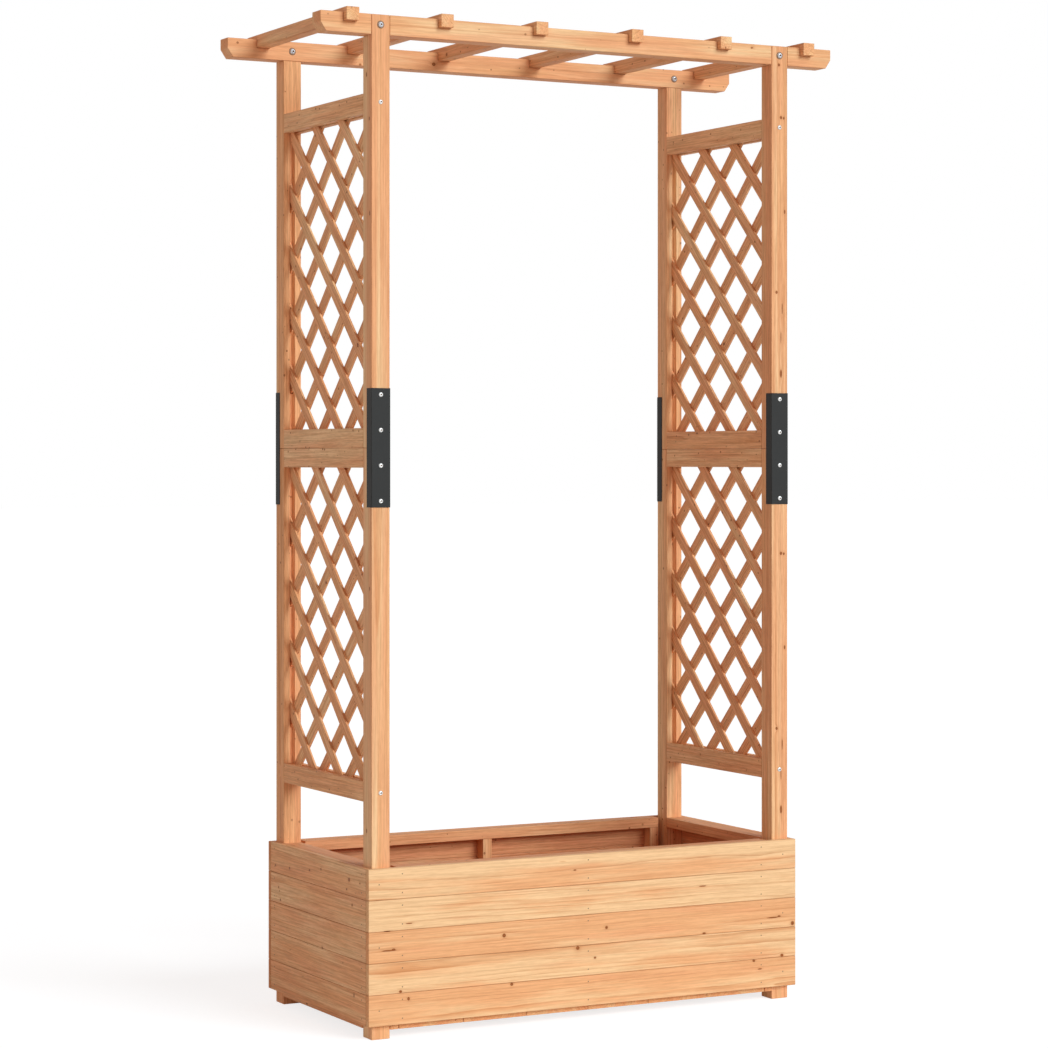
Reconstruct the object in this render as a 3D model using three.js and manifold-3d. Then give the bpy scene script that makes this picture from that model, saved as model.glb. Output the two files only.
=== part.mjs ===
// Raised planter with a lattice trellis at each end and an open rafter roof.
// Millimetres. +Z is up, X runs along the trough and -Y is the front. The origin is on the
// ground, under the middle of the frame.

import * as THREE from 'three';
import { mergeVertices } from 'three/addons/utils/BufferGeometryUtils.js';
import Module from 'manifold-3d';

const wasm = await Module();
wasm.setup();

// ------------------------------------------------------------------ driving dimensions

// The frame of posts
const overallHeight = 2001.5;     // ground to the tops of the rafters
const frameLength = 962;          // over the outer faces of the posts, left to right
const frameDepth = 464.8;         // over the outer faces of the posts, front to back
const postSide = 39.2;            // square section of every post
const splitHeight = 1150;         // the upper posts stand on the lower ones at this height
const seam = 0.3;                 // hairline left between two neighbouring pieces

// The trough
const footHeight = 17.4;          // ground to the underside of the floor boards
const floorThickness = 9.9;
const floorUnderWall = 2;         // how far the floor boards reach under the walls
const floorEndBoard = 58;         // width of the floor board that is notched round the posts
const floorBoardCount = 6;        // whole floor boards between the two notched ones
const floorJointWidth = 1;        // open joint between two floor boards
const floorJointDepth = 4;        // depth of the joints cut in the floor deck
const wallBoardCount = 5;
const wallBoardHeight = 60.9;
const wallBoardThickness = 12;
const battenHeight = 21.6;        // top and bottom battens inside the walls
const battenDepth = 28;           // from a long wall's boards inwards
const studWidth = 21;             // upright battens of the long walls
const battenSetback = 14.4;       // from a post to the end of a long wall's battens

// The trellis sides
const lowerOpening = 126;         // trough rim to the underside of the bottom rail
const upperOpening = 111;         // top of the top rail to the underside of the beams
const bottomRailHeight = 39.5;
const middleRailHeight = 38.7;    // each of the two rails that meet at the post joints
const topRailHeight = 39;
const slatWidth = 24;
const slatThickness = 5;
const latticePitch = 125;         // upright and level diagonal from crossing to crossing
const firstCrossing = 69.3;       // underside of a rail to the first crossing below it
const grooveDepth = 10.5;         // grooves in posts and rails that hold the lattice

// The post brackets
const bracketHeight = 232;
const bracketThickness = 0.8;
const bracketBend = 1.8;          // outer radius of the two bends
const bracketLeg = 20;            // how far the legs reach back along the post
const bracketHole = 5;            // diameter of the screw holes
const bracketHoleSpacing = 69;
const bracketHoleCount = 4;

// The roof
const beamHeight = 39.6;
const lapDepth = 19;              // thickness of the post's tongue in the half lap
const frontBeamOverhang = 108.6;  // beyond the outer faces of the posts
const backBeamOverhang = 125;
const beamChamferRun = 12;        // lower end corners of the beams
const beamChamferRise = 18;
const boltHole = 7;               // diameter of the hole through tongue and beam
const rafterWidth = 27.5;
const rafterHeight = 26;
const rafterProud = 9.2;          // rafter tops above the beam tops
const rafterOverhang = 13;        // beyond the outer faces of the beams
const outerRafterOffset = 65.2;   // outwards from the post centres
const middleRafterOffset = 139.2; // inwards from the post centres
const innerRafterOffset = 110.3;  // outwards from the middle of the roof

// ------------------------------------------------------------------ derived places

const postHalf = postSide / 2;
const postX = frameLength / 2 - postHalf;
const postY = frameDepth / 2 - postHalf;
const innerX = frameLength / 2 - postSide;
const innerY = frameDepth / 2 - postSide;

const beamTop = overallHeight - rafterProud;
const beamBottom = beamTop - beamHeight;
const rafterBottom = overallHeight - rafterHeight;

const floorTop = footHeight + floorThickness;
const floorHalfLength = frameLength / 2 + floorUnderWall;
const floorHalfDepth = frameDepth / 2 + floorUnderWall;
const wallBase = floorTop + seam;
const boardRise = wallBoardHeight + seam;
const wallTop = wallBase + wallBoardCount * boardRise - seam;
const wallFaceX = frameLength / 2 + seam;
const wallFaceY = frameDepth / 2 + seam;

const bottomRailTop = wallTop + lowerOpening + bottomRailHeight;
const lowerPanelTop = splitHeight - seam / 2 - middleRailHeight;
const upperPanelBottom = splitHeight + seam / 2 + middleRailHeight;
const topRailBottom = beamBottom - upperOpening - topRailHeight;
const grooveWidth = 2 * slatThickness + 2 * seam;

const reach = 3;                  // how far a cutter runs past the face that it opens
const holeSides = 16;
const bendSteps = 4;
const weldDistance = 1e-4;

// ------------------------------------------------------------------ materials

const timber = {
  post: 0xd99a68,
  board: 0xdc9f6c,
  rail: 0xb98052,
  slat: 0xb87f50,
  floor: 0xc08a5c,
  roof: 0xe0a672,
};

function wood(colour) {
  return new THREE.MeshStandardMaterial({ color: colour, roughness: 0.75, metalness: 0 });
}

function blackSteel() {
  return new THREE.MeshStandardMaterial({ color: 0x2e2e2e, roughness: 0.5, metalness: 0.3 });
}

// ------------------------------------------------------------------ shape helpers

// A box between two opposite corners.
function block([x0, y0, z0], [x1, y1, z1]) {
  const box = new THREE.BoxGeometry(x1 - x0, y1 - y0, z1 - z0);
  return box.translate((x0 + x1) / 2, (y0 + y1) / 2, (z0 + z1) / 2);
}

// A level hole along Y, as a cutter that runs past both faces of a piece `depth` thick.
function crossHole(diameter, x, z, depth) {
  const radius = diameter / 2;
  const hole = new THREE.CylinderGeometry(radius, radius, depth + 2 * reach, holeSides);
  return hole.translate(x, 0, z);
}

// A closed geometry as a solid that can be joined and cut.
function solidOf(geometry) {
  const bare = geometry.clone();
  bare.deleteAttribute('normal');
  bare.deleteAttribute('uv');
  const merged = mergeVertices(bare, weldDistance);
  return new wasm.Manifold(new wasm.Mesh({
    numProp: 3,
    vertProperties: new Float32Array(merged.attributes.position.array),
    triVerts: new Uint32Array(merged.index.array),
  }));
}

function geometryOf(solid) {
  const mesh = solid.getMesh();
  const geometry = new THREE.BufferGeometry();
  geometry.setAttribute('position', new THREE.BufferAttribute(mesh.vertProperties, 3));
  geometry.setIndex(new THREE.BufferAttribute(mesh.triVerts, 1));
  geometry.computeVertexNormals();
  return geometry;
}

function carve(geometry, cutters) {
  const start = solidOf(geometry);
  return geometryOf(cutters.reduce((solid, cutter) => solid.subtract(solidOf(cutter)), start));
}

function join(geometries) {
  return geometries.map(solidOf).reduce((all, one) => all.add(one));
}

// ------------------------------------------------------------------ assembly

const planter = new THREE.Group();
planter.name = 'planter_with_trellis';

function place(parent, name, geometry, material, x = 0, y = 0, z = 0) {
  const mesh = new THREE.Mesh(geometry, material);
  mesh.name = name;
  mesh.position.set(x, y, z);
  parent.add(mesh);
  return mesh;
}

// The front row faces -Y as built. The back row is the same row turned half round, so its left
// and right change places.
const frontRow = new THREE.Group();
const backRow = new THREE.Group();
backRow.rotation.z = Math.PI;
planter.add(frontRow, backRow);

const rows = [
  { row: frontRow, label: 'front', overhang: frontBeamOverhang, ends: ['left', 'right'] },
  { row: backRow, label: 'back', overhang: backBeamOverhang, ends: ['right', 'left'] },
];

// ------------------------------------------------------------------ posts

// The groove that takes the edge of a lattice, in the +Y face of a front post.
function postGroove(panelBottom, panelTop) {
  return block(
    [-grooveWidth / 2, postHalf - grooveDepth, panelBottom - grooveDepth],
    [grooveWidth / 2, postHalf + reach, panelTop + grooveDepth],
  );
}

// A lower post from the ground to the joint. Its foot is the planter's foot.
function lowerPost() {
  const post = block([-postHalf, -postHalf, 0], [postHalf, postHalf, splitHeight - seam / 2]);
  return carve(post, [postGroove(bottomRailTop, lowerPanelTop)]);
}

// An upper post, built from its own foot. At the top its inner half is cut away for the beam.
const upperPostFoot = splitHeight + seam / 2;

function upperPost() {
  const length = beamTop - upperPostFoot;
  const post = block([-postHalf, -postHalf, 0], [postHalf, postHalf, length]);
  const lap = block(
    [-postHalf - reach, -postHalf + lapDepth, length - beamHeight - seam],
    [postHalf + reach, postHalf + reach, length + reach],
  );
  const groove = postGroove(upperPanelBottom - upperPostFoot, topRailBottom - upperPostFoot);
  const bolt = crossHole(boltHole, 0, 0, postSide).translate(0, 0, length - beamHeight / 2);
  return carve(post, [lap, groove, bolt]);
}

// A folded channel round the outer face of a post joint, with screw holes down its web.
function postBracket() {
  const outer = postHalf + seam + bracketThickness;
  const inner = postHalf + seam;
  const front = -outer;
  const back = -postHalf + bracketLeg;
  const innerBend = bracketBend - bracketThickness;
  const section = new THREE.Shape();
  section.moveTo(-outer, back);
  section.lineTo(-outer, front + bracketBend);
  section.absarc(-outer + bracketBend, front + bracketBend, bracketBend, Math.PI, 1.5 * Math.PI);
  section.absarc(outer - bracketBend, front + bracketBend, bracketBend, 1.5 * Math.PI, 2 * Math.PI);
  section.lineTo(outer, back);
  section.lineTo(inner, back);
  section.absarc(inner - innerBend, -inner + innerBend, innerBend, 0, -0.5 * Math.PI, true);
  section.absarc(-inner + innerBend, -inner + innerBend, innerBend, -0.5 * Math.PI, -Math.PI, true);
  section.lineTo(-inner, back);
  section.closePath();
  const channel = new THREE.ExtrudeGeometry(section, {
    depth: bracketHeight,
    bevelEnabled: false,
    curveSegments: bendSteps,
  });
  const firstHole = bracketHeight / 2 - (bracketHoleSpacing * (bracketHoleCount - 1)) / 2;
  const holes = [];
  for (let i = 0; i < bracketHoleCount; i += 1) {
    const hole = crossHole(bracketHole, 0, firstHole + i * bracketHoleSpacing, bracketThickness);
    holes.push(hole.translate(0, -postHalf - seam - bracketThickness / 2, 0));
  }
  return carve(channel, holes);
}

for (const { row, label, ends } of rows) {
  [-postX, postX].forEach((x, index) => {
    const corner = `${label}_${ends[index]}`;
    place(row, `post_lower_${corner}`, lowerPost(), wood(timber.post), x, -postY, 0);
    place(row, `post_upper_${corner}`, upperPost(), wood(timber.post), x, -postY, upperPostFoot);
    const bracketFoot = splitHeight - bracketHeight / 2;
    place(row, `bracket_${corner}`, postBracket(), blackSteel(), x, -postY, bracketFoot);
  });
}

// ------------------------------------------------------------------ trough walls

// The long boards cover the ends of the short ones.
const longBoardHalf = wallFaceX + wallBoardThickness;
for (const { row, label } of rows) {
  for (let i = 0; i < wallBoardCount; i += 1) {
    const bottom = wallBase + i * boardRise;
    const board = block(
      [-longBoardHalf, -wallFaceY - wallBoardThickness, 0],
      [longBoardHalf, -wallFaceY, wallBoardHeight],
    );
    place(row, `${label}_board_${i + 1}`, board, wood(timber.board), 0, 0, bottom);
  }
}

for (const [label, side] of [['left', -1], ['right', 1]]) {
  for (let i = 0; i < wallBoardCount; i += 1) {
    const board = block(
      [-wallBoardThickness / 2, -frameDepth / 2, 0],
      [wallBoardThickness / 2, frameDepth / 2, wallBoardHeight],
    );
    const x = side * (wallFaceX + wallBoardThickness / 2);
    place(planter, `${label}_board_${i + 1}`, board, wood(timber.board), x, 0, wallBase + i * boardRise);
  }
}

// ------------------------------------------------------------------ inner battens

// The ladder of battens behind a long wall: top and bottom battens with three studs between.
function longWallFrame() {
  const end = innerX - battenSetback;
  const outer = -frameDepth / 2;
  const inner = outer + battenDepth;
  const top = wallTop - wallBase;
  const level = (z) => block([-end, outer, z], [end, inner, z + battenHeight]);
  const stud = (x) => block([x - studWidth / 2, outer, 0], [x + studWidth / 2, inner, top]);
  const studX = [-end + studWidth / 2, 0, end - studWidth / 2];
  return geometryOf(join([level(0), level(top - battenHeight), ...studX.map(stud)]));
}

for (const { row, label } of rows) {
  place(row, `${label}_wall_battens`, longWallFrame(), wood(timber.rail), 0, 0, wallBase);
}

// The top battens of the short walls lie between the posts, as deep as the posts.
for (const [label, side] of [['left', -1], ['right', 1]]) {
  const halfSpan = innerY - seam;
  const batten = block([-postHalf, -halfSpan, 0], [postHalf, halfSpan, battenHeight]);
  place(planter, `${label}_wall_batten`, batten, wood(timber.rail), side * postX, 0, wallTop - battenHeight);
}

// ------------------------------------------------------------------ floor

// The whole floor boards, edge to edge, with the joints between them cut from below.
const deckHalf = frameLength / 2 - floorEndBoard;
const floorBoardWidth = (2 * deckHalf) / floorBoardCount;

function floorDeck() {
  const deck = block([-deckHalf, -floorHalfDepth, 0], [deckHalf, floorHalfDepth, floorThickness]);
  const joints = [];
  for (let i = 1; i < floorBoardCount; i += 1) {
    const x = -deckHalf + i * floorBoardWidth;
    joints.push(block(
      [x - floorJointWidth / 2, -floorHalfDepth - reach, -reach],
      [x + floorJointWidth / 2, floorHalfDepth + reach, floorJointDepth],
    ));
  }
  return carve(deck, joints);
}

place(planter, 'floor_deck', floorDeck(), wood(timber.floor), 0, 0, footHeight);

// A floor end board, notched at both ends for the posts, with its outer edge towards -X.
function floorEnd() {
  const outer = -floorHalfLength;
  const inner = -deckHalf - floorJointWidth;
  const board = block([outer, -floorHalfDepth, 0], [inner, floorHalfDepth, floorThickness]);
  const notchStart = innerY - seam;
  const notchEnd = floorHalfDepth + reach;
  const notches = [-1, 1].map((side) => {
    const middle = (side * (notchStart + notchEnd)) / 2;
    const halfWidth = (notchEnd - notchStart) / 2;
    return block(
      [outer - reach, middle - halfWidth, -reach],
      [-innerX + seam, middle + halfWidth, floorThickness + reach],
    );
  });
  return carve(board, notches);
}

for (const [label, turn] of [['left', 0], ['right', Math.PI]]) {
  const board = place(planter, `floor_end_${label}`, floorEnd(), wood(timber.floor), 0, 0, footHeight);
  board.rotation.z = turn;
}

// ------------------------------------------------------------------ trellis rails

// A rail between two posts. A groove for the lattice runs along its top or its underside.
function rail(height, grooveOnTop) {
  const halfSpan = innerY - seam;
  const body = block([-postHalf, -halfSpan, 0], [postHalf, halfSpan, height]);
  const grooveBase = grooveOnTop ? height - grooveDepth : -reach;
  const groove = block(
    [-grooveWidth / 2, -halfSpan - reach, grooveBase],
    [grooveWidth / 2, halfSpan + reach, grooveBase + grooveDepth + reach],
  );
  return carve(body, [groove]);
}

// ------------------------------------------------------------------ lattice

// The heights at which the slats of one direction cross the middle of a panel. A slat is kept
// where it crosses a slat of the other direction clear of the rails, so that no corner has a stub.
function slatHeights(slope, bottom, top, halfWidth) {
  const first = top - grooveDepth + seam - firstCrossing;
  const clear = grooveDepth + slatWidth / 2;
  const crossingStep = latticePitch / 2;
  const crossingsPerHalf = Math.floor(halfWidth / crossingStep);
  const extra = Math.ceil(halfWidth / latticePitch) + 1;
  const last = Math.ceil((first - bottom) / latticePitch) + extra;
  const heights = [];
  for (let i = -extra; i <= last; i += 1) {
    const middle = first - i * latticePitch;
    let crossesInside = false;
    for (let k = -crossingsPerHalf; k <= crossingsPerHalf; k += 1) {
      const crossing = middle + slope * k * crossingStep;
      crossesInside = crossesInside || (crossing > bottom + clear && crossing < top - clear);
    }
    if (crossesInside) heights.push(middle);
  }
  return heights;
}

// One lattice: two layers of slats at 45 degrees, crossing face to face, trimmed to the panel
// with its edges inside the grooves.
function lattice(railTop, railBottom) {
  const halfWidth = innerY + grooveDepth - seam;
  const bottom = railTop - grooveDepth + seam;
  const top = railBottom + grooveDepth - seam;
  const length = 2 * Math.SQRT2 * (halfWidth + latticePitch);
  const slats = [];
  for (const [slope, layer] of [[1, -slatThickness / 2], [-1, slatThickness / 2]]) {
    for (const height of slatHeights(slope, bottom, top, halfWidth)) {
      const slat = new THREE.BoxGeometry(slatThickness, length, slatWidth);
      slats.push(slat.rotateX((slope * Math.PI) / 4).translate(layer, 0, height));
    }
  }
  const panel = block([-slatThickness, -halfWidth, bottom], [slatThickness, halfWidth, top]);
  return geometryOf(join(slats).intersect(solidOf(panel)));
}

// ------------------------------------------------------------------ trellis sides

const latticeSpans = {
  lower: [bottomRailTop, lowerPanelTop],
  upper: [upperPanelBottom, topRailBottom],
};

for (const [label, x] of [['left', -postX], ['right', postX]]) {
  const side = new THREE.Group();
  side.position.x = x;
  planter.add(side);
  const bottomRail = bottomRailTop - bottomRailHeight;
  place(side, `rail_bottom_${label}`, rail(bottomRailHeight, true), wood(timber.rail), 0, 0, bottomRail);
  place(side, `rail_middle_lower_${label}`, rail(middleRailHeight, false), wood(timber.rail), 0, 0,
    lowerPanelTop);
  place(side, `rail_middle_upper_${label}`, rail(middleRailHeight, true), wood(timber.rail), 0, 0,
    splitHeight + seam / 2);
  place(side, `rail_top_${label}`, rail(topRailHeight, false), wood(timber.rail), 0, 0, topRailBottom);
  for (const [level, [bottom, top]] of Object.entries(latticeSpans)) {
    place(side, `lattice_${level}_${label}`, lattice(bottom, top), wood(timber.slat));
  }
}

// ------------------------------------------------------------------ roof

const rafterX = [
  -postX - outerRafterOffset,
  -postX + middleRafterOffset,
  -innerRafterOffset,
  innerRafterOffset,
  postX - middleRafterOffset,
  postX + outerRafterOffset,
];

// A beam across two post tops. Its outer face is notched for the posts' tongues and its top for
// the rafters, and its lower end corners are cut off.
function beam(overhang) {
  const end = frameLength / 2 + overhang;
  const profile = new THREE.Shape();
  profile.moveTo(-end, beamHeight);
  profile.lineTo(-end, beamChamferRise);
  profile.lineTo(-end + beamChamferRun, 0);
  profile.lineTo(end - beamChamferRun, 0);
  profile.lineTo(end, beamChamferRise);
  profile.lineTo(end, beamHeight);
  profile.closePath();
  const body = new THREE.ExtrudeGeometry(profile, { depth: postSide, bevelEnabled: false });
  body.rotateX(Math.PI / 2).translate(0, postHalf, 0);
  const cutters = [];
  for (const x of [-postX, postX]) {
    cutters.push(block(
      [x - postHalf - seam, -postHalf - reach, -reach],
      [x + postHalf + seam, -postHalf + lapDepth + seam, beamHeight + reach],
    ));
    cutters.push(crossHole(boltHole, x, beamHeight / 2, postSide));
  }
  for (const x of rafterX) {
    cutters.push(block(
      [x - rafterWidth / 2 - seam, -postHalf - reach, rafterBottom - seam - beamBottom],
      [x + rafterWidth / 2 + seam, postHalf + reach, beamHeight + reach],
    ));
  }
  return carve(body, cutters);
}

for (const { row, label, overhang } of rows) {
  place(row, `beam_${label}`, beam(overhang), wood(timber.roof), 0, -postY, beamBottom);
}

rafterX.forEach((x, index) => {
  const halfLength = frameDepth / 2 + rafterOverhang;
  const rafter = block(
    [-rafterWidth / 2, -halfLength, 0],
    [rafterWidth / 2, halfLength, rafterHeight],
  );
  place(planter, `rafter_${index + 1}`, rafter, wood(timber.roof), x, 0, rafterBottom);
});

export default planter;
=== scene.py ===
import math
import random

import bmesh
import bpy
from mathutils import Matrix, Vector


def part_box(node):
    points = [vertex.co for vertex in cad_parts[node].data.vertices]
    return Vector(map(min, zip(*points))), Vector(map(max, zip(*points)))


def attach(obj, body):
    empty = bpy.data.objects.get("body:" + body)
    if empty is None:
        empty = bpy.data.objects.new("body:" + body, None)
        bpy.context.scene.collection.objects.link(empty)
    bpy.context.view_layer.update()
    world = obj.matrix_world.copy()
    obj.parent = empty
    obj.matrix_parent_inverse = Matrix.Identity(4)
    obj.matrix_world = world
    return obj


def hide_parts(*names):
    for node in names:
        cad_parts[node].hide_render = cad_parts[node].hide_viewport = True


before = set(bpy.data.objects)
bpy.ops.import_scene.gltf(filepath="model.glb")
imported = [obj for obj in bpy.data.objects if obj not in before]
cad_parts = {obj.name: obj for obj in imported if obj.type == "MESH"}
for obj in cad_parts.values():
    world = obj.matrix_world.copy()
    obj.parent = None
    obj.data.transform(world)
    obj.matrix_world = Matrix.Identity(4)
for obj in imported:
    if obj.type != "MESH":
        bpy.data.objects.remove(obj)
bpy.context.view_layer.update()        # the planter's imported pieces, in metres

# ---- The view and the studio -------------------------------------------------------------
# A level camera at chest height, left of the front, with its lens shifted down so that posts
# stay upright in the picture. A broad cool lamp shines from the front right, and a warm sky,
# brighter low down, fills the shade. The floor is plain, white and matt.
CAMERA_PLACE = (-2.9038, -5.3725, 1.1259)
CAMERA_HEADING = math.radians(28.22)   # turned from +Y towards +X
LENS = 100.47                          # millimetres, as is the width of the sensor
SENSOR_WIDTH = 36
IMAGE_SIZE = 1048                      # pixels each way
HORIZON_ABOVE_MIDDLE = 63.8            # pixels

camera = bpy.data.objects.new("camera", bpy.data.cameras.new("camera"))
camera.location = CAMERA_PLACE
camera.rotation_euler = (math.pi / 2, 0, -CAMERA_HEADING)
camera.data.sensor_fit = "HORIZONTAL"
camera.data.sensor_width = SENSOR_WIDTH
camera.data.lens = LENS
camera.data.shift_y = -HORIZON_ABOVE_MIDDLE / IMAGE_SIZE
camera.data.clip_end = 200
scene = bpy.context.scene
scene.collection.objects.link(camera)
scene.camera = camera
scene.view_settings.view_transform = "Standard"

KEY_TOWARDS = Vector((0.34, -0.82, 0.46))   # from the object to the lamp
KEY_STRENGTH = 2.35
KEY_COLOUR = (0.86, 1.0, 1.08)
KEY_SOFTNESS = math.radians(34)
LOW_SKY_STRENGTH = 0.70
HIGH_SKY_STRENGTH = 0.16
SKY_COLOUR = (1.0, 0.84, 0.79, 1)

key = bpy.data.objects.new("key_lamp", bpy.data.lights.new("key_lamp", "SUN"))
key.data.energy = KEY_STRENGTH
key.data.angle = KEY_SOFTNESS
key.data.color = KEY_COLOUR
key.rotation_euler = KEY_TOWARDS.to_track_quat("Z", "Y").to_euler()
scene.collection.objects.link(key)


class Wire:
    """A shader socket that takes part in sums."""

    def __init__(self, finish, socket):
        self.finish = finish
        self.socket = socket

    def other(self, name):
        """Another output of the node that this socket belongs to."""
        return Wire(self.finish, self.socket.node.outputs[name])

    def math(self, operation, *others):
        return self.finish.sum(operation, self, *others)

    def __add__(self, other):
        return self.math("ADD", other)

    def __radd__(self, other):
        return self.math("ADD", other)

    def __sub__(self, other):
        return self.math("SUBTRACT", other)

    def __rsub__(self, other):
        return self.finish.sum("SUBTRACT", other, self)

    def __mul__(self, other):
        return self.math("MULTIPLY", other)

    def __rmul__(self, other):
        return self.math("MULTIPLY", other)

    def __truediv__(self, other):
        return self.math("DIVIDE", other)

    def __pow__(self, other):
        return self.math("POWER", other)


class Finish:
    """A material or world whose nodes are all made by one method."""

    def __init__(self, owner):
        owner.use_nodes = True
        self.owner = owner
        self.tree = owner.node_tree
        self.tree.nodes.clear()

    def add(self, kind, settings=None, sockets=None, out=0):
        node = self.tree.nodes.new("ShaderNode" + kind)
        for name, value in (settings or {}).items():
            setattr(node, name, value)
        for name, value in (sockets or {}).items():
            socket = node.inputs[name]
            if isinstance(value, Wire):
                self.tree.links.new(value.socket, socket)
            else:
                socket.default_value = value
        return Wire(self, node.outputs[out])

    def sum(self, operation, *values):
        return self.add("Math", {"operation": operation}, dict(enumerate(values)))

    def scaled(self, vector, factors):
        settings = {"operation": "MULTIPLY"}
        return self.add("VectorMath", settings, {0: vector, 1: factors})

    def noise(self, vector, factors, detail=2.0):
        return self.add("TexNoise", {}, {"Vector": self.scaled(vector, factors), "Scale": 1.0,
                                         "Detail": detail, "Roughness": 0.55})

    def ramp(self, value, low, high, low_to=0.0, high_to=1.0):
        settings = {"interpolation_type": "SMOOTHSTEP"}
        return self.add("MapRange", settings, {"Value": value, "From Min": low, "From Max": high,
                                               "To Min": low_to, "To Max": high_to})

    def mix(self, factor, first, second, blend="MIX"):
        settings = {"data_type": "RGBA", "blend_type": blend}
        return self.add("Mix", settings, {0: factor, 6: first, 7: second}, out=2)

    def finish(self, shader, world=False):
        output = self.tree.nodes.new("ShaderNodeOutputWorld" if world else "ShaderNodeOutputMaterial")
        self.tree.links.new(shader.socket, output.inputs["Surface"])
        return self.owner


def seen_directly(finish):
    """1 for what the camera, a mirror or glass looks at, and 0 for the light on the object."""
    camera_ray = finish.add("LightPath", out="Is Camera Ray")
    glossy_ray = finish.add("LightPath", out="Is Glossy Ray")
    glass_ray = finish.add("LightPath", out="Is Transmission Ray")
    return finish.sum("MINIMUM", camera_ray + glossy_ray + glass_ray, 1.0)


sky = Finish(bpy.data.worlds.new("studio"))
scene.world = sky.owner
height = sky.add("SeparateXYZ", {}, {0: sky.add("TexCoord", out="Generated")}, out="Z")
low_sky = sky.add("Background", {}, {"Color": SKY_COLOUR, "Strength": LOW_SKY_STRENGTH})
high_sky = sky.add("Background", {}, {"Color": SKY_COLOUR, "Strength": HIGH_SKY_STRENGTH})
fill = sky.add("MixShader", {}, {0: sky.ramp(height, 0.0, 1.0), 1: low_sky, 2: high_sky})
backdrop = sky.add("Background", {}, {"Color": (1, 1, 1, 1), "Strength": 1.0})
sky.finish(sky.add("MixShader", {}, {0: seen_directly(sky), 1: fill, 2: backdrop}), world=True)

FLOOR_WHITE = (0.82, 0.82, 0.82, 1)
FLOOR_SHOWN = (0.42, 0.42, 0.42, 1)    # a darker floor under a glow keeps the shadow faint
FLOOR_GLOW = 0.78                      # brings the lit floor up to plain white
FLOOR_REACH = 60

white = Finish(bpy.data.materials.new("studio_floor"))
matt = white.add("BsdfDiffuse", {}, {"Color": FLOOR_WHITE})
glow = white.add("Emission", {}, {"Color": (1, 1, 1, 1), "Strength": FLOOR_GLOW})
pale = white.add("BsdfDiffuse", {}, {"Color": FLOOR_SHOWN})
shown = white.add("AddShader", {}, {0: pale, 1: glow})
white.finish(white.add("MixShader", {}, {0: seen_directly(white), 1: matt, 2: shown}))

floor_sheet = bmesh.new()
bmesh.ops.create_grid(floor_sheet, x_segments=1, y_segments=1, size=FLOOR_REACH)
floor_mesh = bpy.data.meshes.new("studio_floor")
floor_sheet.to_mesh(floor_mesh)
floor_mesh.materials.append(white.owner)
floor = bpy.data.objects.new("studio_floor", floor_mesh)
scene.collection.objects.link(floor)

# ---- The four lower posts ----------------------------------------------------------------
# Square softwood posts, planed, with a stopped groove for the lattice in the inner face. They
# stand on their own ends, which are the planter's feet, and carry the trough on their sides.


KNOT_SPACING = 0.030
KNOT_RADII = (0.0020, 0.0048)          # smallest and largest
SPECK_SPACING = 0.0150
SPECK_RADII = (0.0012, 0.0026)
POCKET_SPACING = 0.017
POCKET_RADII = (0.0006, 0.0011)
POCKET_SHARE = 0.05
POCKET_STRETCH = 9                     # resin pockets are drawn out along the grain
CHOSEN_KNOT_RADIUS = 0.0034            # typical of the chosen knots
SWAY = 0.016                           # how far the rings wander
RIPPLE = 0.0034
SCARCELY_ANY = 1e-5                    # in place of 0, where no knot grew


def knots(wood, grain, spacing, share, smallest, largest, stretch=1.15):
    """Knots scattered through the wood. Gives how far out of a knot each place lies, in knot
    radii, the radius of that knot in metres, or 0 where none grew, and a number drawn for it."""
    cells = (1 / (spacing * stretch), 1 / spacing, 1 / spacing)
    place = wood.scaled(grain, cells)
    middle = wood.add("TexVoronoi", {}, {"Vector": place, "Scale": 1.0}, out="Position")
    drawn = wood.add("SeparateColor", {}, {0: middle.other("Color")})
    step = wood.add("VectorMath", {"operation": "SUBTRACT"}, {0: place, 1: middle})
    distance = wood.add("VectorMath", {"operation": "LENGTH"}, {0: step}, out="Value") * spacing
    radius = drawn.other(1) * (largest - smallest) + smallest
    radius = radius * wood.sum("GREATER_THAN", share, drawn)
    return distance / (radius + SCARCELY_ANY), radius, drawn.other(2)


def out_of_chosen_knot(wood, across, place_across, up, half_width, half_height):
    """How far each place lies out of one knot that goes right through a piece, in knot radii.
    The knot's place and half its width and height are in millimetres, across and up."""
    widths = [0, 0, 1000 / half_height]
    middle = [0, 0, up / half_height]
    widths[across] = 1000 / half_width
    middle[across] = place_across / half_width
    place = wood.scaled(wood.add("TexCoord", out="Object"), widths)
    return wood.add("VectorMath", {"operation": "DISTANCE"}, {0: place, 1: middle}, out="Value")


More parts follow.
